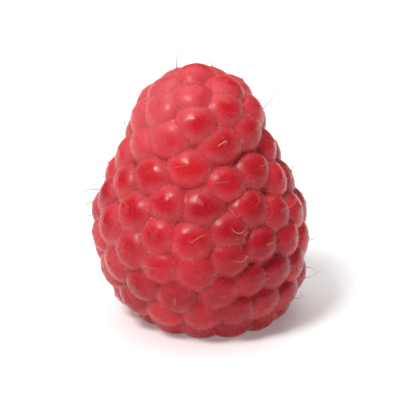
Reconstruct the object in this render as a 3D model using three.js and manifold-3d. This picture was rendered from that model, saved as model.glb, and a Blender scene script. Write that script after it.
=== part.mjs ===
// A picked red raspberry, standing on its open end with its tip up.
// Some hundred and twenty drupelets sit side by side on a dome, round the hollow that the plant's core leaves
// when the fruit is pulled off. They hold together as one body.
// Millimetres, +Z up. The origin is straight below the tip, on the surface that the fruit stands on.

import * as THREE from "three";
import { mergeVertices } from "three/addons/utils/BufferGeometryUtils.js";
import Module from "manifold-3d";

// The whole fruit.
const WIDTH = 22;
const HEIGHT = 26.4;
const OVALITY = 0.02; // the fruit is this share wider along X than along Y
const LEAN = 1.4; // how far the rim stands to the +X side of the tip
const LEAN_BEND = 4; // how strongly the lean gathers towards the rim

// The outline over the crowns of the drupelets, from the tip down to the rim: shares of half the width
// and of the height.
const OUTLINE = [
  [0, 1],
  [0.355, 0.955],
  [0.565, 0.86],
  [0.674, 0.735],
  [0.827, 0.598],
  [0.973, 0.451],
  [1, 0.326],
  [0.95, 0.19],
  [0.85, 0.085],
  [0.7, 0.018],
];

// The drupelets, and how they find their places.
const DRUPELETS = 124;
const RIM_DRUPELETS = 13; // of them, those in the ring round the mouth
const PITCH = 3.6; // between the middles of neighbours, over the outside
const HALF_ACROSS = 2.45; // a drupelet's half size, round the fruit
const HALF_LONG = 2.32; // from its tip side to its rim side
const HALF_DEEP = 2.25; // from its inner end to its crown
const SIZE_SPREAD = 0.08; // drupelets are larger or smaller by up to this share
const STRAY = 0.35; // how far, in pitches, each strays from the spiral that it grew on
const START_ANGLE = THREE.MathUtils.degToRad(288); // where the spiral and the rim's ring begin
const GOLDEN_ANGLE = Math.PI * (3 - Math.sqrt(5)); // from each drupelet to the next in age
const ROOM = 1.35; // neighbours closer than this many pitches press each other away
const PRESSING = 0.12; // the share of the missing room that each gives way in a step
const PRESSING_STEPS = 150;
const SEED = 425;
const DRUPELET_SIDES = 10;
const DRUPELET_RINGS = 5;

// The bed that the drupelets grow together in lies this deep under their crowns.
const BED_DEPTH = 1.7;
const BED_SIDES = 24;
const BED_RINGS = 8;

// The hollow, from its closed end down to its mouth, as radius and height.
const HOLLOW = [
  [0, 17.5],
  [1.9, 17],
  [3.3, 15.2],
  [4.2, 12],
  [4.8, 8],
  [5.2, 4],
  [5.3, 0],
];
const HOLLOW_SIDES = 36;
const HOLLOW_RINGS = 16;
const KNOB_HALF = 1.15; // half the width of a drupelet's inner end, a low knob on the hollow's wall
const KNOB_HEIGHT = 0.45; // how far the middle of a knob stands out of the wall

const CLEARANCE = 5; // how far a cutting solid reaches past what it cuts
const SAME_PLACE = 1e-4; // corners closer than this are one

// Park and Miller's generator: the same draws on every run.
function seededDraw(seed) {
  let state = seed;
  return () => {
    state = (state * 16807) % 2147483647;
    return state / 2147483647;
  };
}

const limit = (value) => Math.min(1, Math.max(0, value));

const leanAt = (height) => LEAN * (1 - height / HEIGHT) ** LEAN_BEND;

// Curves from the top down, with radius as x and height as y.
const curveThrough = (points) =>
  new THREE.SplineCurve(points.map(([radius, height]) => new THREE.Vector2(radius, height)));
const outside = curveThrough(OUTLINE.map(([r, h]) => [(r * WIDTH) / 2, h * HEIGHT]));
const inside = curveThrough(HOLLOW);

// A place on the surface that a curve sweeps: share of the way down it, turned round the axis by angle.
// It has its point and its directions round the fruit, down the curve and away from the axis.
function placeAt(curve, share, angle) {
  const { x: radius, y: height } = curve.getPointAt(share);
  const slope = curve.getTangentAt(share);
  const [c, s] = [Math.cos(angle), Math.sin(angle)];
  const point = new THREE.Vector3(
    radius * c * (1 + OVALITY / 2) + leanAt(height),
    radius * s * (1 - OVALITY / 2),
    height,
  );
  const round = new THREE.Vector3(-s, c, 0);
  const down = new THREE.Vector3(slope.x * c, slope.x * s, slope.y);
  const out = new THREE.Vector3().crossVectors(down, round);
  return { share, angle, radius, point, round, down, out };
}

// Shares of the outside, up to the last one, that give each of count places as much surface.
function evenShares(count, last) {
  const SAMPLES = 400;
  const area = [0];
  for (let i = 1; i <= SAMPLES; i++) {
    area.push(area[i - 1] + outside.getPointAt(((i - 0.5) / SAMPLES) * last).x);
  }
  return Array.from({ length: count }, (_, i) => {
    const wanted = (area[SAMPLES] * i) / (count - 1);
    const next = Math.max(1, area.findIndex((a) => a >= wanted));
    const part = (wanted - area[next - 1]) / (area[next] - area[next - 1]);
    return ((next - 1 + part) / SAMPLES) * last;
  });
}

// The drupelets' places and sizes. The rim's stand in a ring. The others start on a spiral from the tip
// and stray a little. Then all press their neighbours away until each has room.
function seatDrupelets() {
  const draw = seededDraw(SEED);
  const length = outside.getLength();
  const seats = [];
  const seat = (share, angle, fixed) => {
    const stray = fixed ? 0 : STRAY * PITCH;
    const place = placeAt(outside, limit(share + (stray * (2 * draw() - 1)) / length), angle);
    place.angle += (stray * (2 * draw() - 1)) / Math.max(place.radius, PITCH);
    seats.push({ ...place, fixed, size: 1 + SIZE_SPREAD * (2 * draw() - 1) });
  };
  const spiral = evenShares(DRUPELETS - RIM_DRUPELETS, 1 - PITCH / length);
  spiral.forEach((share, i) => seat(share, START_ANGLE + i * GOLDEN_ANGLE, i === 0));
  for (let i = 0; i < RIM_DRUPELETS; i++) {
    seat(1, START_ANGLE + (2 * Math.PI * i) / RIM_DRUPELETS, true);
  }
  let places = seats.map((s) => placeAt(outside, s.share, s.angle));
  for (let step = 0; step < PRESSING_STEPS; step++) {
    seats.forEach((s, i) => {
      if (s.fixed) return;
      const here = places[i];
      const push = new THREE.Vector3();
      places.forEach((there, j) => {
        const away = here.point.clone().sub(there.point);
        const distance = away.length();
        const room = (ROOM * PITCH * (s.size + seats[j].size)) / 2;
        if (i !== j && distance < room) push.addScaledVector(away, room / distance - 1);
      });
      s.share = limit(s.share + (PRESSING * push.dot(here.down)) / length);
      s.angle += (PRESSING * push.dot(here.round)) / Math.max(here.radius, PITCH);
    });
    places = seats.map((s) => placeAt(outside, s.share, s.angle));
  }
  return places.map((place, i) => ({ ...place, size: seats[i].size }));
}

const wasm = await Module();
wasm.setup();

// A closed three.js geometry as a solid that can be joined and cut.
function solidFrom(geometry) {
  geometry.deleteAttribute("normal");
  geometry.deleteAttribute("uv");
  const merged = mergeVertices(geometry, SAME_PLACE);
  return new wasm.Manifold(
    new wasm.Mesh({
      numProp: 3,
      vertProperties: merged.attributes.position.array,
      triVerts: new Uint32Array(merged.index.array),
    }),
  );
}

// A joined solid as a geometry again.
function geometryFrom(solid) {
  const { vertProperties, triVerts } = solid.getMesh();
  const geometry = new THREE.BufferGeometry();
  geometry.setAttribute("position", new THREE.BufferAttribute(vertProperties, 3));
  geometry.setIndex(new THREE.BufferAttribute(triVerts, 1));
  geometry.computeVertexNormals();
  return geometry;
}

// A rounded grain round middle, with its half sizes down, round and out at a place, and its pole outwards.
function grain(middle, { down, round, out }, halfSizes, sides, rings) {
  const geometry = new THREE.SphereGeometry(1, sides, rings);
  geometry.rotateX(Math.PI / 2);
  geometry.scale(...halfSizes);
  geometry.applyMatrix4(new THREE.Matrix4().makeBasis(down, round, out));
  geometry.translate(middle.x, middle.y, middle.z);
  return solidFrom(geometry);
}

function drupelet(seat) {
  const middle = seat.point.clone().addScaledVector(seat.out, -HALF_DEEP * seat.size);
  const halfSizes = [HALF_LONG, HALF_ACROSS, HALF_DEEP].map((half) => half * seat.size);
  return grain(middle, seat, halfSizes, DRUPELET_SIDES, DRUPELET_RINGS);
}

// Moves each vertex of a geometry by a rule.
function moveVertices(geometry, rule) {
  const position = geometry.attributes.position;
  for (let i = 0; i < position.count; i++) {
    const vertex = new THREE.Vector3().fromBufferAttribute(position, i);
    rule(vertex);
    position.setXYZ(i, vertex.x, vertex.y, vertex.z);
  }
}

// A closed shape turned round the axis from a profile of radius and height that runs from the top down,
// oval and leaning as the fruit is.
function turned(profile, sides) {
  const points = profile.map(([radius, height]) => new THREE.Vector2(radius, height)).reverse();
  const geometry = new THREE.LatheGeometry([new THREE.Vector2(0, points[0].y), ...points], sides);
  geometry.rotateX(Math.PI / 2);
  moveVertices(geometry, (vertex) => {
    vertex.x = vertex.x * (1 + OVALITY / 2) + leanAt(vertex.z);
    vertex.y *= 1 - OVALITY / 2;
  });
  return geometry;
}

// The profile that a curve sweeps, moved towards the axis by depth.
function profileOf(curve, rings, depth) {
  return Array.from({ length: rings + 1 }, (_, i) => {
    const point = curve.getPointAt(i / rings);
    const slope = curve.getTangentAt(i / rings);
    return i === 0 ? [0, point.y - depth] : [point.x + slope.y * depth, point.y - slope.x * depth];
  });
}

const bed = () => solidFrom(turned(profileOf(outside, BED_RINGS, BED_DEPTH), BED_SIDES));

// The space left by the core. The inner end of each drupelet stands into it as a knob, as far down its
// wall as the drupelet is down the outside.
function hollow(seats) {
  const wall = profileOf(inside, HOLLOW_RINGS, 0);
  const [mouthRadius] = wall[HOLLOW_RINGS];
  const geometry = turned([...wall, [mouthRadius, -CLEARANCE]], HOLLOW_SIDES);
  const knobs = seats.map(({ share, angle }) => placeAt(inside, share, angle));
  moveVertices(geometry, (vertex) => {
    const gaps = knobs.map(({ point }) => point.distanceTo(vertex));
    const gap = Math.min(...gaps);
    const rise = KNOB_HEIGHT * Math.max(0, 1 - (gap / KNOB_HALF) ** 2);
    vertex.addScaledVector(knobs[gaps.indexOf(gap)].out, -rise);
  });
  return solidFrom(geometry);
}

// Everything below the surface that the fruit stands on.
function underground() {
  const side = WIDTH + 2 * CLEARANCE;
  const geometry = new THREE.BoxGeometry(side, side, CLEARANCE);
  geometry.translate(0, 0, -CLEARANCE / 2);
  return solidFrom(geometry);
}

const seats = seatDrupelets();
const cluster = seats.reduce((joined, seat) => joined.add(drupelet(seat)), bed());
const body = cluster.subtract(hollow(seats)).subtract(underground());

const flesh = new THREE.MeshStandardMaterial({ color: 0xb9293a, roughness: 0.45, metalness: 0 });
const raspberry = new THREE.Mesh(geometryFrom(body), flesh);
raspberry.name = "raspberry";
const group = new THREE.Group();
group.add(raspberry);

export default group;
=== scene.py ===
"""A picked red raspberry: its flesh of merged drupelets, the fine down on it and the dried styles.

Metres, +Z up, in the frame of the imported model. The drupelets find their places by the model's rule.
"""

import math

import bmesh
import bpy
import numpy as np
from mathutils import Matrix, Vector


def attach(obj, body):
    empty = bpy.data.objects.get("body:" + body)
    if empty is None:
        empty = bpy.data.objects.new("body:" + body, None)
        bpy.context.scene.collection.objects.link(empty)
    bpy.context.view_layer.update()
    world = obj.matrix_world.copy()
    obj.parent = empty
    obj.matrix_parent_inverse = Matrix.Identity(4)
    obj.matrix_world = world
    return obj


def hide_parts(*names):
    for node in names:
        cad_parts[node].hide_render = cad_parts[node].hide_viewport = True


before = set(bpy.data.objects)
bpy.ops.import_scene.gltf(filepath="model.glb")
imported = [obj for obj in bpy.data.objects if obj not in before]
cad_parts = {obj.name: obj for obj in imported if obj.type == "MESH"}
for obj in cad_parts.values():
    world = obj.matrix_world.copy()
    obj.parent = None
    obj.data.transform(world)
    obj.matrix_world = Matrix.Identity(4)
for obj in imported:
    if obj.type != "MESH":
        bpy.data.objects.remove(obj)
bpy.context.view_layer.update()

MM = 0.001

# ---------------------------------------------------------------- the fruit, as the model has it

WIDTH = 22 * MM
HEIGHT = 26.4 * MM
OVALITY = 0.02  # the fruit is this share wider along X than along Y
LEAN = 1.4 * MM  # how far the rim stands to the +X side of the tip
LEAN_BEND = 4  # how strongly the lean gathers towards the rim
OUTLINE = (  # over the crowns, from the tip down: shares of half the width and of the height
    (0, 1),
    (0.355, 0.955),
    (0.565, 0.86),
    (0.674, 0.735),
    (0.827, 0.598),
    (0.973, 0.451),
    (1, 0.326),
    (0.95, 0.19),
    (0.85, 0.085),
    (0.7, 0.018),
)
HOLLOW = (  # from its closed end down to its mouth, as radius and height in millimetres
    (0, 17.5),
    (1.9, 17),
    (3.3, 15.2),
    (4.2, 12),
    (4.8, 8),
    (5.2, 4),
    (5.3, 0),
)
DRUPELETS = 124
RIM_DRUPELETS = 13  # of them, those in the ring round the mouth
PITCH = 3.6 * MM  # between the middles of neighbours, over the outside
HALF_SIZES = Vector((2.32, 2.45, 2.25)) * MM  # a drupelet's, down, round and out of the fruit
SIZE_SPREAD = 0.08  # drupelets are larger or smaller by up to this share
STRAY = 0.35  # how far, in pitches, each strays from the spiral that it grew on
START_ANGLE = math.radians(288)  # where the spiral and the rim's ring begin
GOLDEN_ANGLE = math.pi * (3 - math.sqrt(5))  # from each drupelet to the next in age
ROOM = 1.35  # neighbours closer than this many pitches press each other away
PRESSING = 0.12  # the share of the missing room that each gives way in a step
PRESSING_STEPS = 150
SEED = 425
BED_DEPTH = 1.7 * MM  # the bed that the drupelets grow together in lies this deep under their crowns
KNOB_HALF = 1.15 * MM  # half the width of a drupelet's inner end, a low knob on the hollow's wall
KNOB_HEIGHT = 0.45 * MM  # how far the middle of a knob stands out of the wall
CLEARANCE = 5 * MM  # how far the solid that cuts the hollow reaches past the mouth

# ---------------------------------------------------------------- the fruit, finer than the model

BED_SIDES = 96
BED_RINGS = 32
HOLLOW_SIDES = 120
HOLLOW_RINGS = 60
SLIVER = 0.06 * MM  # thinner faces and shorter edges, left where drupelets join, are closed up
SHARP = math.radians(42)  # an edge shows as a crease where the surface turns by more than this
SETTLED = 0.4 * MM  # below this height the skin is smoothed and raised less, and not on the table
ON_THE_TABLE = 1e-6  # points lower than this touch the table
WAVES = (  # of the uneven skin: the length of each and its share of the ripple
    (2.6 * MM, 2),
    (0.9 * MM, 0.8),
)
CROWN_SHIFT = 0.22 * MM  # how far a style stands to the tip's side of its drupelet's middle
NIPPLE_REACH = 0.5 * MM  # the radius of the nipple that a style stands on
BORDER_REACH = 0.7  # the width of a drupelet's border, in half sizes of both it and its neighbour
CREVICE_DEPTH = 0.75 * MM  # the painted crevice shade begins this deep under the crowns
CREVICE_FADE = 0.9 * MM  # and is at its darkest this much deeper
LINING = 0.3 * MM  # the hollow's pale lining is this thick
LINING_FADE = 1.4 * MM  # and has faded out this much farther from the hollow
STYLES_LEFT = 0.78  # the share of the drupelets that keep their style
STYLE_KINDS = 9
STYLE_SEED = 77
STYLE_TURN = 100  # how many degrees a style may turn away from bending up the fruit
STYLE_TILT = 24  # how many degrees it may lean to the side
LONGEST_STYLE = 3 * MM  # the lowest drupelets, which a style would hold off the table, have lost theirs
BARE_FOOT = 0.5 * MM  # no hair grows lower than this, and from twice as high up all of them do
HAIR_LENGTHS = (0.5, 1.3)  # of the shortest and of the longest, in shares of the usual length

# ---------------------------------------------------------------- places on the fruit


def seeded_draw(seed):
    """Park and Miller's generator, as the model has it."""
    multiplier, modulus = 16807, 2**31 - 1
    state = seed
    while True:
        state = state * multiplier % modulus
        yield state / modulus


class Curve:
    """A smooth curve of radius and height from the top down, read by its share of the length."""

    SAMPLES = 4000
    GAP_SAMPLES = 200

    def __init__(self, points):
        ends = np.array([points[0], *points, points[-1]], float)
        t = np.linspace(0, len(points) - 1, self.SAMPLES + 1)
        i = np.minimum(t.astype(int), len(points) - 2)
        w = (t - i)[:, None]
        p0, p1, p2, p3 = ends[i], ends[i + 1], ends[i + 2], ends[i + 3]
        v0, v1 = (p2 - p0) / 2, (p3 - p1) / 2
        self.line = (
            (2 * p1 - 2 * p2 + v0 + v1) * w**3
            + (-3 * p1 + 3 * p2 - 2 * v0 - v1) * w**2
            + v0 * w
            + p1
        )
        steps = np.linalg.norm(np.diff(self.line, axis=0), axis=1)
        self.length = steps.sum()
        self.shares = np.concatenate(([0], np.cumsum(steps))) / self.length
        slopes = np.gradient(self.line, axis=0)
        self.slopes = slopes / np.linalg.norm(slopes, axis=1)[:, None]

    def read(self, columns, share):
        return [np.interp(share, self.shares, columns[:, k]) for k in (0, 1)]

    def gap(self, radius, height):
        """How far points of radius and height lie from the curve."""
        line = self.line[:: self.SAMPLES // self.GAP_SAMPLES]
        gaps = [np.hypot(radius - r, height - h) for r, h in line]
        return np.min(gaps, axis=0)


outside = Curve([(r * WIDTH / 2, h * HEIGHT) for r, h in OUTLINE])
inside = Curve([(r * MM, h * MM) for r, h in HOLLOW])


def lean_at(height):
    return LEAN * (1 - height / HEIGHT) ** LEAN_BEND


def places_at(curve, share, angle):
    """Points on the surface that a curve sweeps, with directions down, round and away from the axis."""
    radius, height = curve.read(curve.line, share)
    along, drop = curve.read(curve.slopes, share)
    c, s = np.cos(angle), np.sin(angle)
    x = radius * c * (1 + OVALITY / 2) + lean_at(height)
    y = radius * s * (1 - OVALITY / 2)
    point = np.stack((x, y, height), -1)
    round_ = np.stack((-s, c, 0 * c), -1)
    down = np.stack((along * c, along * s, drop), -1)
    return radius, point, down, round_, np.cross(down, round_)


def even_shares(count, last):
    """Shares of the outside, up to the last one, that give each of count places as much surface."""
    samples = 400
    middles = (np.arange(samples) + 0.5) / samples * last
    area = np.concatenate(([0], np.cumsum(outside.read(outside.line, middles)[0])))
    wanted = area[-1] * np.arange(count) / (count - 1)
    return np.interp(wanted, area, np.arange(samples + 1) / samples * last)


def seat_drupelets():
    """Each drupelet's share of the way down, its angle and its size, as the model has them."""
    draw = seeded_draw(SEED)
    spiral = even_shares(DRUPELETS - RIM_DRUPELETS, 1 - PITCH / outside.length)
    starts = [(share, START_ANGLE + i * GOLDEN_ANGLE, i == 0) for i, share in enumerate(spiral)]
    starts += [
        (1, START_ANGLE + 2 * math.pi * i / RIM_DRUPELETS, True) for i in range(RIM_DRUPELETS)
    ]
    shares, angles, sizes = [], [], []
    for share, angle, fixed in starts:
        stray = 0 if fixed else STRAY * PITCH
        share = min(1, max(0, share + stray * (2 * next(draw) - 1) / outside.length))
        radius = outside.read(outside.line, share)[0]
        shares.append(share)
        angles.append(angle + stray * (2 * next(draw) - 1) / max(radius, PITCH))
        sizes.append(1 + SIZE_SPREAD * (2 * next(draw) - 1))
    share, angle, size = np.array(shares), np.array(angles), np.array(sizes)
    free = np.array([not fixed for _, _, fixed in starts])
    room = ROOM * PITCH * (size[:, None] + size[None, :]) / 2
    for _ in range(PRESSING_STEPS):
        radius, point, down, round_, _ = places_at(outside, share, angle)
        away = point[:, None] - point[None, :]
        distance = np.linalg.norm(away, axis=2)
        np.fill_diagonal(distance, np.inf)
        missing = np.maximum(room / distance - 1, 0)
        push = (away * missing[:, :, None]).sum(axis=1)
        step = PRESSING * free
        share = np.clip(share + step * (push * down).sum(axis=1) / outside.length, 0, 1)
        angle = angle + step * (push * round_).sum(axis=1) / np.maximum(radius, PITCH)
    return share, angle, size


seat_share, seat_angle, seat_size = seat_drupelets()
_, seat_point, seat_down, seat_round, seat_out = places_at(outside, seat_share, seat_angle)
seat_crown = seat_point - seat_down * CROWN_SHIFT  # where its style stands

# ---------------------------------------------------------------- nodes


class Wire:
    """A node's output. Python's arithmetic on it adds Math nodes to its tree."""

    def __init__(self, tree, socket):
        self.tree, self.socket = tree, socket

    def math(self, operation, *values):
        """A Math node on this wire and then the values."""
        values = dict(enumerate((self, *values)))
        return self.tree.node("ShaderNodeMath", {"operation": operation}, values)

    def __add__(self, other):
        return self.math("ADD", other)

    def __sub__(self, other):
        return self.math("SUBTRACT", other)

    def __rsub__(self, other):
        return self * -1 + other

    def __mul__(self, other):
        return self.math("MULTIPLY", other)

    def __truediv__(self, other):
        return self.math("DIVIDE", other)

    def __rtruediv__(self, other):
        return self**-1 * other

    def __pow__(self, other):
        return self.math("POWER", other)

    __radd__ = __add__
    __rmul__ = __mul__

    def clamped(self):
        return self.math("MAXIMUM", 0).math("MINIMUM", 1)

    def over(self, start, end):
        """0 up to start, 1 from end on, and a straight rise between them."""
        return ((self - start) / (end - start)).clamped()


class Tree:
    """A node tree that nodes are added to by type, settings, and their sockets' values or links."""

    def __init__(self, tree):
        self.tree = tree

    def node(self, kind, settings=None, sockets=None, out=0):
        """Adds a node and gives its output out, or the node itself where it has no outputs."""
        node = self.tree.nodes.new(kind)
        for name, value in (settings or {}).items():
            if name == "stops":
                self.set_stops(node.color_ramp, value)
            else:
                setattr(node, name, value)
        for key, value in (sockets or {}).items():
            for one in value if isinstance(value, list) else [value]:
                if isinstance(one, Wire):
                    self.tree.links.new(one.socket, node.inputs[key])
                else:
                    node.inputs[key].default_value = one
        return Wire(self, node.outputs[out]) if node.outputs else node

    def set_stops(self, ramp, stops):
        for _ in stops[2:]:
            ramp.elements.new(0.5)
        for element, (place, colour) in zip(ramp.elements, stops):
            element.position, element.color = place, colour

    def mix(self, factor, first, second):
        """A colour that factor takes from the first to the second. The node has its sockets once for
        each data type, so they are told apart by number."""
        sockets = {0: factor, 6: first, 7: second}
        return self.node("ShaderNodeMix", {"data_type": "RGBA"}, sockets, out=2)

    def noise(self, where, scale, detail=2, roughness=0.5):
        """Noise around 0.5, of scale waves to the unit of where."""
        sockets = {"Vector": where, "Scale": scale, "Detail": detail, "Roughness": roughness}
        return self.node("ShaderNodeTexNoise", None, sockets)

    def scaled(self, vector, factor):
        sockets = {"Vector": vector, "Scale": factor}
        return self.node("ShaderNodeVectorMath", {"operation": "SCALE"}, sockets)

    def parts(self, vector):
        """A vector's x, y and z."""
        split = self.node("ShaderNodeSeparateXYZ", None, {"Vector": vector}).socket.node
        return [Wire(self, socket) for socket in split.outputs]

    def attribute(self, name):
        return self.node("ShaderNodeAttribute", {"attribute_name": name}, out="Fac")


class Growth(Tree):
    """A Geometry Nodes tree with named inputs, which ends by realizing what it made and setting its
    material."""

    SOCKETS = {
        "geometry": "NodeSocketGeometry",
        "float": "NodeSocketFloat",
        "int": "NodeSocketInt",
        "vector": "NodeSocketVector",
        "object": "NodeSocketObject",
        "material": "NodeSocketMaterial",
    }

    def __init__(self, name, **inputs):
        super().__init__(bpy.data.node_groups.new(name, "GeometryNodeTree"))
        for label, kind in {"Geometry": "geometry", **inputs, "Material": "material"}.items():
            self.tree.interface.new_socket(
                label.replace("_", " "), in_out="INPUT", socket_type=self.SOCKETS[kind]
            )
        self.tree.interface.new_socket(
            "Geometry", in_out="OUTPUT", socket_type=self.SOCKETS["geometry"]
        )
        self.group = self.tree.nodes.new("NodeGroupInput")

    def input(self, name):
        return Wire(self, self.group.outputs[name])

    def named(self, name, kind="FLOAT"):
        settings = {"data_type": kind}
        return self.node("GeometryNodeInputNamedAttribute", settings, {"Name": name})

    def random(self, kind, low, high, seed):
        """A random value for each element. Its kind is FLOAT_VECTOR, FLOAT or INT, and each kind has
        its own sockets."""
        numbers = {"FLOAT_VECTOR": (0, 1, 0), "FLOAT": (2, 3, 1), "INT": (4, 5, 2)}
        low_at, high_at, out = numbers[kind]
        sockets = {low_at: low, high_at: high, "Seed": seed}
        return self.node("FunctionNodeRandomValue", {"data_type": kind}, sockets, out=out)

    def stored(self, geometry, name, values, domain="POINT"):
        """The geometry with a number stored for each point, or for each element of another domain."""
        settings = {"data_type": "FLOAT", "domain": domain}
        sockets = {"Geometry": geometry, "Name": name, 3: values}
        return self.node("GeometryNodeStoreNamedAttribute", settings, sockets)

    def shape_of(self, name):
        """The geometry of the object that an input names."""
        return self.node(
            "GeometryNodeObjectInfo", None, {"Object": self.input(name)}, out="Geometry"
        )

    def facing(self):
        """The turn that points an instance's Z along the attribute out and its X along down."""
        out, down = self.named("out", "FLOAT_VECTOR"), self.named("down", "FLOAT_VECTOR")
        settings = {"primary_axis": "Z", "secondary_axis": "X"}
        sockets = {"Primary Axis": out, "Secondary Axis": down}
        return self.node("FunctionNodeAxesToRotation", settings, sockets)

    def end(self, geometry):
        real = self.node("GeometryNodeRealizeInstances", None, {"Geometry": geometry})
        sockets = {"Geometry": real, "Material": self.input("Material")}
        made = self.node("GeometryNodeSetMaterial", None, sockets)
        self.node("NodeGroupOutput", None, {"Geometry": made})


def grow(name, seed_mesh, growth, **inputs):
    """The plain object that a Growth makes of a mesh. The inputs are set before the object is first
    evaluated."""
    piece = bpy.data.objects.new(name, seed_mesh)
    modifier = piece.modifiers.new(name, "NODES")
    modifier.node_group = growth.tree
    identifiers = {item.name: item.identifier for item in growth.tree.interface.items_tree}
    for label, value in inputs.items():
        modifier[identifiers[label.replace("_", " ")]] = value
    bpy.context.scene.collection.objects.link(piece)
    evaluated = piece.evaluated_get(bpy.context.evaluated_depsgraph_get())
    plain = bpy.data.meshes.new_from_object(evaluated)
    piece.modifiers.remove(modifier)
    piece.data = plain
    plain.name = name
    return piece


def mesh_of(name, points, faces=(), **attributes):
    """A mesh of points and faces, with an attribute for each point where named."""
    mesh = bpy.data.meshes.new(name)
    mesh.from_pydata([tuple(p) for p in points], [], [tuple(f) for f in faces])
    for label, values in attributes.items():
        add_attribute(mesh, label, values)
    return mesh


def add_attribute(mesh, label, values):
    values = np.asarray(values, np.float32)
    kind, field = ("FLOAT", "value") if values.ndim == 1 else ("FLOAT_VECTOR", "vector")
    mesh.attributes.new(label, kind, "POINT").data.foreach_set(field, values.ravel())


def points_of(mesh):
    points = np.empty(3 * len(mesh.vertices), np.float32)
    mesh.vertices.foreach_get("co", points)
    return points.reshape(-1, 3)


def plain_object(name, mesh):
    made = bpy.data.objects.new(name, mesh)
    bpy.context.scene.collection.objects.link(made)
    return made


# ---------------------------------------------------------------- materials

# Base colours, linear.
BRIGHT_RED = (0.65, 0.018, 0.030, 1)
DARK_RED = (0.38, 0.005, 0.015, 1)
# The down's pale bloom, with painted sheen on the flanks.
BLOOM_AND_SHEEN = (0.70, 0.12, 0.14, 1)
# Painted shade in the crevices.
CREVICE_SHADE_RED = (0.26, 0.008, 0.018, 1)
SCAR_BROWN = (0.60, 0.14, 0.08, 1)
LINING_PINK = (0.80, 0.27, 0.25, 1)
LINING_ROSE = (0.70, 0.15, 0.16, 1)
DOWN_ROSE = (0.84, 0.36, 0.35, 1)
DOWN_PALE = (0.92, 0.62, 0.56, 1)
STYLE_STOPS = (  # from its root to its end
    (0.0, (0.42, 0.05, 0.05, 1)),
    (0.4, (0.50, 0.17, 0.09, 1)),
    (0.75, (0.62, 0.33, 0.17, 1)),
    (1.0, (0.78, 0.55, 0.34, 1)),
)
TABLE_SHADE = (0.90, 0.90, 0.90, 1)
TABLE_WHITE = (0.93, 0.93, 0.93, 1)
WHITE = (1, 1, 1, 1)


def new_material(name):
    material = bpy.data.materials.new(name)
    material.use_nodes = True
    material.node_tree.nodes.clear()
    return material, Tree(material.node_tree)


def finish_material(tree, settings):
    surface = tree.node("ShaderNodeBsdfPrincipled", None, settings)
    tree.node("ShaderNodeOutputMaterial", None, {"Surface": surface})


def place_in_mm(tree):
    """Where a point lies on its piece, in millimetres."""
    place = tree.node("ShaderNodeTexCoord", out="Object")
    return tree.node("ShaderNodeMapping", None, {"Vector": place, "Scale": (1 / MM,) * 3})


def flesh_material():
    """Ripe flesh: translucent and satin, each drupelet of its own tone, with the down's paleness and a
    painted sheen on its flanks. It is pale in the hollow. Painted light makes one side of the tip paler,
    and painted shade darkens the crevices and the rim."""
    material, tree = new_material("ripe_flesh")
    place = place_in_mm(tree)
    shade, border, crevice, crown, lining = (
        tree.attribute(name) for name in ("shade", "border", "crevice", "crown", "lining")
    )
    broad = tree.noise(place, 0.22)
    mottle = tree.noise(place, 1.3, 3, 0.6)
    grain = tree.noise(place, 3.2, 2, 0.6)
    fine = tree.noise(place, 7, 2, 0.6)
    x, y, z = tree.parts(place)

    # Each drupelet has its own random tone of ripeness. Towards the rim the skin is darker still, which
    # is painted shade.
    lower = z * (-0.9 / (HEIGHT / MM)) + 0.56
    ripeness_and_low_shade = (shade * 0.7 + (broad - 0.5) * 1.1 + (mottle - 0.5) * 0.9 + lower).clamped()
    skin = tree.mix(ripeness_and_low_shade, BRIGHT_RED, DARK_RED)

    # The down's pale bloom and a painted sheen lie on the flanks, thinner in the crease between them.
    # Low on the +X side, which is in shade, the painted sheen fades: painted shade.
    flank = border.over(0.35, 0.85) * (1 - border.over(0.8, 1) * 0.45)
    shaded_side = (x - z * 0.9).over(-23, -3)
    bloom_and_sheen = (flank * (0.05 + fine * 0.9) * (1 - shaded_side * 0.85)).clamped()

    # Painted light: on the tip's -X shoulder, where the window lamp falls, whole drupelets are painted
    # pale and their flanks less so.
    lit_shoulder = (x * -0.17 + y * -0.06 + z * 0.16 - 4.15).clamped()
    painted_light_veil = (0.3 + shade * 0.3 + mottle * 0.5 + fine * 0.6) * (1.9 - border * 1.2)
    bloom_and_painted_light = (bloom_and_sheen * (1 - lit_shoulder) + painted_light_veil * lit_shoulder).math("MINIMUM", 0.6)
    skin_with_bloom_and_light = tree.mix(bloom_and_painted_light, skin, BLOOM_AND_SHEEN)

    # Painted shade darkens the crevices to a deep red, the skin is scarred where a style stands or
    # stood, and the hollow is pale.
    deep = tree.mix(crevice * 0.6, skin_with_bloom_and_light, CREVICE_SHADE_RED)
    scarred = tree.mix(crown.over(0.5625, 1) * 0.42, deep, SCAR_BROWN)
    inner = tree.mix(mottle, LINING_PINK, LINING_ROSE)
    paleness = (lining * 1.7 - 0.5 + (mottle - 0.5) * 0.8).clamped()
    colour = tree.mix(paleness, scarred, inner)

    worn = (mottle - 0.5) * 0.3 + (fine - 0.5) * 0.25
    roughness = (0.27 + worn + bloom_and_sheen * 0.3 + lining * 0.2).clamped()
    height = (mottle - 0.5) * 0.4 + (grain - 0.5) * 0.25 + (fine - 0.5) * 0.2
    sockets = {"Height": height, "Strength": 0.35, "Distance": 0.12 * MM}
    finish_material(
        tree,
        {
            "Base Color": colour,
            "Roughness": roughness,
            "Normal": tree.node("ShaderNodeBump", None, sockets),
            "Subsurface Weight": 0.5,
            "Subsurface Radius": (1.0, 0.25, 0.2),
            "Subsurface Scale": 1.2 * MM,
            "IOR": 1.34,
            "Sheen Weight": 0.1,
            "Sheen Roughness": 0.4,
            "Sheen Tint": (1.0, 0.75, 0.75, 1),
        },
    )
    return material


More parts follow.
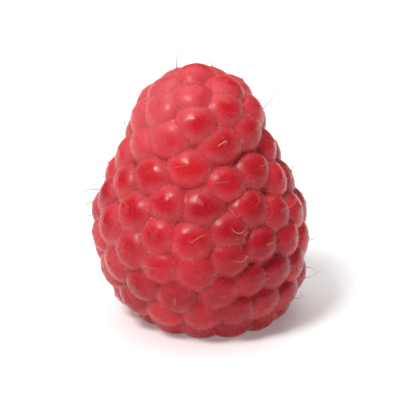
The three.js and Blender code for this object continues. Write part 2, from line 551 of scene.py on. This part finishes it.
def down_material():
    """Fine pale hairs with a tinge of the flesh's red."""
    material, tree = new_material("down_hair")
    colour = tree.mix(tree.noise(place_in_mm(tree), 0.8), DOWN_ROSE, DOWN_PALE)
    settings = {"Base Color": colour, "Roughness": 0.5, "Specular IOR Level": 0.4}
    finish_material(tree, settings)
    return material


def style_material():
    """Dried styles: reddish at the root and straw-brown along the thread."""
    material, tree = new_material("dried_style")
    along, tint = tree.attribute("along"), tree.attribute("tint")
    patch = tree.noise(place_in_mm(tree), 1.1)
    dryness = (along * 0.6 + tint * 0.6 + (patch - 0.5) * 0.5 - 0.1).clamped()
    colour = tree.node("ShaderNodeValToRGB", {"stops": STYLE_STOPS}, {"Fac": dryness})
    finish_material(tree, {"Base Color": colour, "Roughness": 0.5})
    return material


def table_material():
    """The plain white surface that the fruit stands on."""
    material, tree = new_material("white_table")
    grain = tree.noise(tree.node("ShaderNodeTexCoord", out="Object"), 60)
    colour = tree.mix(grain, TABLE_SHADE, TABLE_WHITE)
    glow = {"Emission Color": WHITE, "Emission Strength": 0.2}
    finish_material(tree, {"Base Color": colour, "Roughness": 0.6, **glow})
    return material


# ---------------------------------------------------------------- the flesh


def revolved(name, radius, height, sides, raise_by=None):
    """A closed shape turned round the axis from a profile that runs down, oval and leaning as the fruit
    is. raise_by moves its points."""
    angle = np.arange(sides) * 2 * math.pi / sides
    rings = [
        (r * np.cos(angle), r * np.sin(angle), h + 0 * angle)
        for r, h in zip(radius[1:], height[1:])
    ]
    x, y, z = (np.concatenate([ring[axis] for ring in rings]) for axis in range(3))
    x = np.append(x, (0, 0))
    y = np.append(y, (0, 0))
    z = np.append(z, (height[0], height[-1]))
    points = np.stack((x * (1 + OVALITY / 2) + lean_at(z), y * (1 - OVALITY / 2), z), -1)
    if raise_by:
        points = raise_by(points)
    top, bottom = len(points) - 2, len(points) - 1
    last = (len(rings) - 1) * sides
    faces = []
    for j in range(sides):
        k = (j + 1) % sides
        faces.append((top, j, k))
        faces.append((bottom, last + k, last + j))
        for ring in range(0, last, sides):
            faces.append((ring + j, ring + sides + j, ring + sides + k, ring + k))
    return mesh_of(name, points, faces)


def bed_mesh():
    """What the drupelets grow together in, under their crowns."""
    share = np.linspace(0, 1, BED_RINGS + 1)
    radius, height = outside.read(outside.line, share)
    along, drop = outside.read(outside.slopes, share)
    radius = radius + drop * BED_DEPTH
    height = height - along * BED_DEPTH
    radius[0] = 0
    return revolved("bed", radius, height, BED_SIDES)


def raise_knobs(points):
    """The drupelets' inner ends stand out of the hollow's wall as round knobs."""
    _, knob, _, _, out = places_at(inside, seat_share, seat_angle)
    gaps = np.linalg.norm(points[:, None] - knob[None, :], axis=2)
    nearest = gaps.argmin(axis=1)
    rise = KNOB_HEIGHT * np.maximum(0, 1 - (gaps.min(axis=1) / KNOB_HALF) ** 2)
    return points - out[nearest] * rise[:, None]


def hollow_mesh():
    """The space that the plant's core left."""
    share = np.linspace(0, 1, HOLLOW_RINGS + 1)
    radius, height = inside.read(inside.line, share)
    radius = np.append(radius, radius[-1])
    height = np.append(height, -CLEARANCE)
    return revolved("hollow", radius, height, HOLLOW_SIDES, raise_knobs)


def ground_mesh():
    """A block of everything below the surface that the fruit stands on."""
    block = bmesh.new()
    bmesh.ops.create_cube(block, size=2 * WIDTH, matrix=Matrix.Translation((0, 0, -WIDTH)))
    mesh = bpy.data.meshes.new("ground")
    block.to_mesh(mesh)
    block.free()
    return mesh


def flesh_growth():
    """Drupelets on their seats, joined with the bed, less the hollow and what lies below the table.
    A drupelet is a cube blown up to a rounded grain, which is an ellipsoid at a fullness of 2."""
    growth = Growth(
        "flesh",
        Half_sizes="vector",
        Fineness="int",
        Fullness="float",
        Bed="object",
        Hollow="object",
        Ground="object",
    )
    half, full = growth.input("Half sizes"), growth.input("Fullness")
    grid = growth.input("Fineness")
    sockets = {"Size": (2, 2, 2), "Vertices X": grid, "Vertices Y": grid, "Vertices Z": grid}
    block = growth.node("GeometryNodeMeshCube", None, sockets)
    place = growth.node("GeometryNodeInputPosition")
    evened = {
        axis: (part * (math.pi / 4)).math("TANGENT")
        for axis, part in zip("XYZ", growth.parts(place))
    }
    evened = growth.node("ShaderNodeCombineXYZ", None, evened)
    way = growth.node("ShaderNodeVectorMath", {"operation": "NORMALIZE"}, {0: evened})
    x, y, z = growth.parts(way)
    reach = (x * x + y * y) ** (full / 2) + z.math("ABSOLUTE") ** full
    fuller = growth.scaled(way, reach ** (-1 / full))
    drupelet = growth.node("GeometryNodeSetPosition", None, {"Geometry": block, "Position": fuller})
    size = growth.named("size")
    sunk = growth.scaled(growth.named("out", "FLOAT_VECTOR"), growth.parts(half)[2] * size * -1)
    seats = growth.node(
        "GeometryNodeSetPosition", None, {"Geometry": growth.input("Geometry"), "Offset": sunk}
    )
    sockets = {
        "Points": seats,
        "Instance": drupelet,
        "Rotation": growth.facing(),
        "Scale": growth.scaled(half, size),
    }
    drupelets = growth.node("GeometryNodeInstanceOnPoints", None, sockets)
    joined = growth.node(
        "GeometryNodeMeshBoolean",
        {"operation": "UNION", "solver": "MANIFOLD"},
        {"Mesh 2": [drupelets, growth.shape_of("Bed")]},
    )
    cut = growth.node(
        "GeometryNodeMeshBoolean",
        {"operation": "DIFFERENCE", "solver": "MANIFOLD"},
        {"Mesh 1": joined, "Mesh 2": [growth.shape_of("Hollow"), growth.shape_of("Ground")]},
    )
    growth.end(cut)
    return growth


def clear_scraps(mesh):
    """Closes the slivers that joining leaves along the creases, and takes out crumbs that lie loose."""
    shape = bmesh.new()
    shape.from_mesh(mesh)
    bmesh.ops.dissolve_degenerate(shape, edges=shape.edges, dist=SLIVER)
    between_two_faces = [vertex for vertex in shape.verts if len(vertex.link_edges) == 2]
    bmesh.ops.dissolve_verts(shape, verts=between_two_faces)
    many_sided = [face for face in shape.faces if len(face.verts) > 4]
    bmesh.ops.triangulate(shape, faces=many_sided, ngon_method="BEAUTY")
    wires = [edge for edge in shape.edges if not edge.link_faces]
    bmesh.ops.delete(shape, geom=wires, context="EDGES")
    body = {max(shape.verts, key=lambda vertex: vertex.co.z)}
    front = list(body)
    while front:
        vertex = front.pop()
        around = {edge.other_vert(vertex) for edge in vertex.link_edges} - body
        body |= around
        front += around
    crumbs = [vertex for vertex in shape.verts if vertex not in body]
    bmesh.ops.delete(shape, geom=crumbs, context="VERTS")
    shape.to_mesh(mesh)
    shape.free()


def skin_growth():
    """The joined flesh with its creases rounded, its skin uneven, and a nipple under each style."""
    growth = Growth("skin", Rounding="int", Ripple="float", Nipple="float", Crowns="object")
    joined = growth.input("Geometry")
    place = growth.node("GeometryNodeInputPosition")
    free = growth.parts(place)[2].over(0, SETTLED)
    sockets = {"Value": place, "Iterations": growth.input("Rounding"), "Weight": free}
    rounded = growth.node("GeometryNodeBlurAttribute", {"data_type": "FLOAT_VECTOR"}, sockets)
    skin = growth.node("GeometryNodeSetPosition", None, {"Geometry": joined, "Position": rounded})
    sockets = {"Target": growth.shape_of("Crowns")}
    gap = growth.node("GeometryNodeProximity", {"target_element": "POINTS"}, sockets, out="Distance")
    near = (1 - gap / NIPPLE_REACH).clamped()
    nipple = near * near * growth.input("Nipple")
    broad, fine = ((growth.noise(place, 1 / length, 1) - 0.5) * share for length, share in WAVES)
    uneven = (broad + fine) * growth.input("Ripple")
    normal = growth.node("GeometryNodeInputNormal")
    rise = growth.scaled(normal, (uneven + nipple) * free)
    growth.end(growth.node("GeometryNodeSetPosition", None, {"Geometry": skin, "Offset": rise}))
    return growth


def add_flesh():
    bed = plain_object("bed", bed_mesh())
    hollow = plain_object("hollow", hollow_mesh())
    ground = plain_object("ground", ground_mesh())
    crowns = plain_object("crowns", mesh_of("crowns", seat_crown))
    joined = grow(
        "joined",
        mesh_of("seats", seat_point, out=seat_out, down=seat_down, size=seat_size),
        flesh_growth(),
        Half_sizes=HALF_SIZES,
        Fineness=22,
        Fullness=2.3,
        Bed=bed,
        Hollow=hollow,
        Ground=ground,
    )
    clear_scraps(joined.data)
    flesh = grow(
        "flesh",
        joined.data,
        skin_growth(),
        Rounding=1,
        Ripple=0.09 * MM,
        Nipple=0.14 * MM,
        Crowns=crowns,
        Material=flesh_material(),
    )
    for tool in (bed, hollow, ground, crowns, joined):
        bpy.data.objects.remove(tool)
    mark_flesh(flesh.data)
    flesh.data.shade_smooth()
    flesh.data.set_sharp_from_angle(angle=SHARP)
    keep_flats_crisp(flesh.data)
    return flesh


def keep_flats_crisp(mesh):
    """The small flats that the fruit stands on end in an edge."""
    ends = np.empty(2 * len(mesh.edges), np.int32)
    mesh.edges.foreach_get("vertices", ends)
    low = (points_of(mesh)[:, 2] < ON_THE_TABLE)[ends.reshape(-1, 2)].all(axis=1)
    sharp = np.empty(len(mesh.edges), bool)
    mesh.edges.foreach_get("use_edge_sharp", sharp)
    mesh.edges.foreach_set("use_edge_sharp", sharp | low)


def mark_flesh(mesh):
    """Writes what the material and the hairs read at each point: its drupelet's shade of red, how near
    it is to the next drupelet, how deep it lies between them, which sets the painted shade there, how
    near it is to where a style stands, and whether it lines the hollow."""
    points = points_of(mesh).astype(float)
    x = (points[:, 0] - lean_at(points[:, 2])) / (1 + OVALITY / 2)
    y = points[:, 1] / (1 - OVALITY / 2)
    radius, height = np.hypot(x, y), points[:, 2]
    lining = 1 - np.clip((inside.gap(radius, height) - LINING) / LINING_FADE, 0, 1)
    sunk = np.clip((outside.gap(radius, height) - CREVICE_DEPTH) / CREVICE_FADE, 0, 1)
    crevice = sunk * (1 - lining)
    draw = seeded_draw(SEED + 1)
    shades = np.array([next(draw) for _ in seat_size])
    middles = seat_point - seat_out * (HALF_SIZES.z * seat_size)[:, None]
    axes = np.stack((seat_down / HALF_SIZES.x, seat_round / HALF_SIZES.y, seat_out / HALF_SIZES.z), 1)
    axes /= seat_size[:, None, None]
    shade, border, crown = (np.empty(len(points)) for _ in range(3))
    at_once = 10000
    for start in range(0, len(points), at_once):
        part = slice(start, start + at_once)
        away = points[part, None] - middles[None]
        reach = np.sqrt((np.einsum("pdk,dak->pda", away, axes) ** 2).sum(axis=2))
        nearest = reach.argmin(axis=1)
        first, second = np.partition(reach, 1, axis=1)[:, :2].T
        shade[part] = shades[nearest]
        border[part] = 1 - np.clip((second - first) / BORDER_REACH, 0, 1)
        gap = np.linalg.norm(points[part] - seat_crown[nearest], axis=1)
        crown[part] = 1 - np.clip(gap / NIPPLE_REACH, 0, 1)
    marks = {"shade": shade, "border": border, "crevice": crevice, "crown": crown, "lining": lining}
    for label, values in marks.items():
        add_attribute(mesh, label, values)


# ---------------------------------------------------------------- the dried styles


def style_growth():
    """Bent, tapering threads of a few kinds, one picked for each root, each with its own length and
    tint."""
    growth = Growth(
        "styles",
        Shortest="float",
        Longest="float",
        Thickness="float",
        Fineness="int",
        Seed="int",
    )
    seed = growth.input("Seed")
    draw = seeded_draw(STYLE_SEED)
    kinds = []
    for _ in range(STYLE_KINDS):
        # The middle line is in shares of the style's length. It stands up, and then bends towards -X.
        lean, turn, rise, sweep, droop = (2 * next(draw) - 1 for _ in range(5))
        line = growth.node(
            "GeometryNodeCurvePrimitiveBezierSegment",
            {"mode": "POSITION"},
            {
                "Resolution": growth.input("Fineness"),
                "Start": (0, 0, -0.1),
                "Start Handle": (0.10 * lean, 0.10 * turn, 0.30),
                "End Handle": (-0.30 + 0.25 * sweep, 0.28 * turn, 0.52 + 0.15 * rise),
                "End": (-0.52 + 0.34 * sweep, 0.34 * lean, 0.52 + 0.34 * droop),
            },
        )
        along = growth.node("GeometryNodeSplineParameter")
        ring = growth.node("GeometryNodeCurvePrimitiveCircle", None, {"Resolution": 4, "Radius": 0.5})
        sockets = {
            "Curve": growth.stored(line, "along", along),
            "Profile Curve": ring,
            "Scale": growth.input("Thickness") * (1 - along * 0.6),
            "Fill Caps": True,
        }
        kinds.append(growth.node("GeometryNodeCurveToMesh", None, sockets))
    shortest, longest = growth.input("Shortest"), growth.input("Longest")
    sockets = {
        "Points": growth.input("Geometry"),
        "Instance": growth.node("GeometryNodeGeometryToInstance", None, {"Geometry": kinds}),
        "Pick Instance": True,
        "Instance Index": growth.random("INT", 0, STYLE_KINDS - 1, seed),
        "Rotation": growth.facing(),
        "Scale": growth.random("FLOAT", shortest, longest, seed + 1),
    }
    threads = growth.node("GeometryNodeInstanceOnPoints", None, sockets)
    tint = growth.random("FLOAT", 0.0, 1.0, seed + 2)
    growth.end(growth.stored(threads, "tint", tint, "INSTANCE"))
    return growth


def add_styles():
    draw = seeded_draw(SEED + 2)
    kept = [
        i
        for i, point in enumerate(seat_point)
        if next(draw) < STYLES_LEFT and point[2] > LONGEST_STYLE
    ]
    turn, tilt = (
        np.array([2 * next(draw) - 1 for _ in kept])[:, None] * math.radians(most)
        for most in (STYLE_TURN, STYLE_TILT)
    )
    down, side = seat_down[kept], seat_round[kept]
    heading = down * np.cos(turn) + side * np.sin(turn)
    out = seat_out[kept] * np.cos(tilt) + side * np.sin(tilt)
    return grow(
        "styles",
        mesh_of("style_roots", seat_crown[kept], out=out, down=heading),
        style_growth(),
        Shortest=0.9 * MM,
        Longest=LONGEST_STYLE,
        Thickness=0.034,
        Fineness=8,
        Seed=5,
        Material=style_material(),
    )


# ---------------------------------------------------------------- the down


def down_growth():
    """Hairs strewn over the flesh, each a thin cone that leans and bends its own way."""
    growth = Growth(
        "down",
        Hairs_to_the_square_metre="float",
        Everywhere="float",
        At_borders="float",
        In_the_hollow="float",
        Length="float",
        Thickness="float",
        Lay="float",
        Bend="float",
        Segments="int",
        Seed="int",
    )
    seed, lay = growth.input("Seed"), growth.input("Lay")
    place = growth.node("GeometryNodeInputPosition")
    z = growth.parts(place)[2]
    lining = growth.named("lining")
    crease = growth.named("border").over(0.5, 1)
    share = (
        growth.input("Everywhere")
        + crease * crease * growth.input("At borders") * (1 - lining)
        + lining * growth.input("In the hollow")
    )
    clear = z.over(BARE_FOOT, 2 * BARE_FOOT)
    density = growth.input("Hairs to the square metre") * share * clear
    sockets = {"Mesh": growth.input("Geometry"), "Density": density, "Seed": seed}
    strewn = growth.node("GeometryNodeDistributePointsOnFaces", None, sockets)
    normal = Wire(growth, strewn.socket.node.outputs["Normal"])
    aside = growth.scaled(growth.random("FLOAT_VECTOR", (-1,) * 3, (1,) * 3, seed + 1), lay)
    way = growth.node("ShaderNodeVectorMath", {"operation": "ADD"}, {0: normal, 1: aside})
    upright = growth.node("FunctionNodeAlignRotationToVector", {"axis": "Z"}, {"Vector": way})
    turn = growth.random("FLOAT_VECTOR", (0, 0, 0), (0, 0, 2 * math.pi), seed + 2)
    sockets = {"Rotation": upright, "Rotate By": turn}
    spin = growth.node("FunctionNodeRotateRotation", {"rotation_space": "LOCAL"}, sockets)
    sockets = {
        "Vertices": 3,
        "Side Segments": growth.input("Segments"),
        "Radius Top": 0.0,
        "Radius Bottom": growth.input("Thickness") / 2,
        "Depth": 1.0,
    }
    cone = growth.node("GeometryNodeMeshCone", {"fill_type": "NGON"}, sockets)
    bend = growth.node("ShaderNodeCombineXYZ", None, {"X": z * z * growth.input("Bend")})
    hair = growth.node("GeometryNodeSetPosition", None, {"Geometry": cone, "Offset": bend})
    sockets = {
        "Points": strewn,
        "Instance": hair,
        "Rotation": spin,
        "Scale": growth.input("Length") * growth.random("FLOAT", *HAIR_LENGTHS, seed + 3),
    }
    growth.end(growth.node("GeometryNodeInstanceOnPoints", None, sockets))
    return growth


def add_down(flesh):
    """The short down that stands all over the skin, and the longer hairs that felt the drupelets
    together."""
    growth, material = down_growth(), down_material()
    down = grow(
        "down",
        flesh.data.copy(),
        growth,
        Hairs_to_the_square_metre=9e6,
        Everywhere=0.4,
        At_borders=1.2,
        In_the_hollow=0.5,
        Length=0.26 * MM,
        Thickness=0.055,
        Lay=0.45,
        Bend=0.0,
        Segments=1,
        Seed=11,
        Material=material,
    )
    felt = grow(
        "felt",
        flesh.data.copy(),
        growth,
        Hairs_to_the_square_metre=5e6,
        Everywhere=0.02,
        At_borders=1.0,
        In_the_hollow=0.15,
        Length=0.6 * MM,
        Thickness=0.03,
        Lay=0.9,
        Bend=0.45,
        Segments=3,
        Seed=12,
        Material=material,
    )
    return down, felt


# ---------------------------------------------------------------- the stage


def add_table():
    """The table's top, which lies just below the fruit's flats."""
    half_side, drop = 1.2, 0.01 * MM
    corners = [
        (x * half_side, y * half_side, -drop) for x, y in ((-1, -1), (1, -1), (1, 1), (-1, 1))
    ]
    table = plain_object("white_table", mesh_of("white_table", corners, [(0, 1, 2, 3)]))
    table.data.materials.append(table_material())


def add_wall():
    """A white wall all round the table. Only the camera sees it, so it throws no light on the fruit."""
    radius, foot, top, sides = 1.8, -0.4, 1.6, 48
    angles = [2 * math.pi * i / sides for i in range(sides)]
    corners = [
        (radius * math.cos(angle), radius * math.sin(angle), z)
        for z in (foot, top)
        for angle in angles
    ]
    faces = [(i, sides + i, sides + (i + 1) % sides, (i + 1) % sides) for i in range(sides)]
    wall = plain_object("white_wall", mesh_of("white_wall", corners, faces))
    material, tree = new_material("white_wall")
    glow = tree.node("ShaderNodeEmission", None, {"Color": WHITE, "Strength": 1.2})
    tree.node("ShaderNodeOutputMaterial", None, {"Surface": glow})
    wall.data.materials.append(material)
    wall.visible_diffuse = wall.visible_glossy = wall.visible_shadow = False


def aim(thing, place, at):
    """Puts a lamp or a camera in its place and turns it towards a point."""
    thing.location = place
    thing.rotation_euler = (Vector(at) - Vector(place)).to_track_quat("-Z", "Y").to_euler()


def add_lamp(name, way, spread, strength):
    """Soft light from one way, even over the whole table."""
    light = bpy.data.lights.new(name, "SUN")
    light.angle, light.energy = math.radians(spread), strength
    aim(plain_object(name, light), way, (0, 0, 0))


def add_light():
    add_lamp("window", (-0.40, -0.42, 0.85), 18, 2.4)
    add_lamp("overhead", (-0.05, 0.25, 0.95), 60, 1.5)
    world = bpy.data.worlds.new("pale_room")
    world.use_nodes = True
    background = world.node_tree.nodes["Background"]
    background.inputs["Color"].default_value = WHITE
    background.inputs["Strength"].default_value = 0.1
    bpy.context.scene.world = world


def add_camera():
    elevation, distance = math.radians(22), 0.26
    at = Vector((0.2 * MM, 0, 12.2 * MM))
    lens = bpy.data.cameras.new("camera")
    lens.lens, lens.clip_start = 230, 0.01
    camera = plain_object("camera", lens)
    away = distance * Vector((0, -math.cos(elevation), math.sin(elevation)))
    aim(camera, at + away, at)
    bpy.context.scene.camera = camera


# ---------------------------------------------------------------- everything together

add_camera()
flesh = add_flesh()
styles = add_styles()
down, felt = add_down(flesh)
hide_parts("raspberry")
for piece, slot in ((flesh, "flesh"), (styles, "hair"), (down, "hair"), (felt, "hair")):
    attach(piece, "root")
add_table()
add_wall()
add_light()
bpy.context.scene.view_settings.view_transform = "Standard"
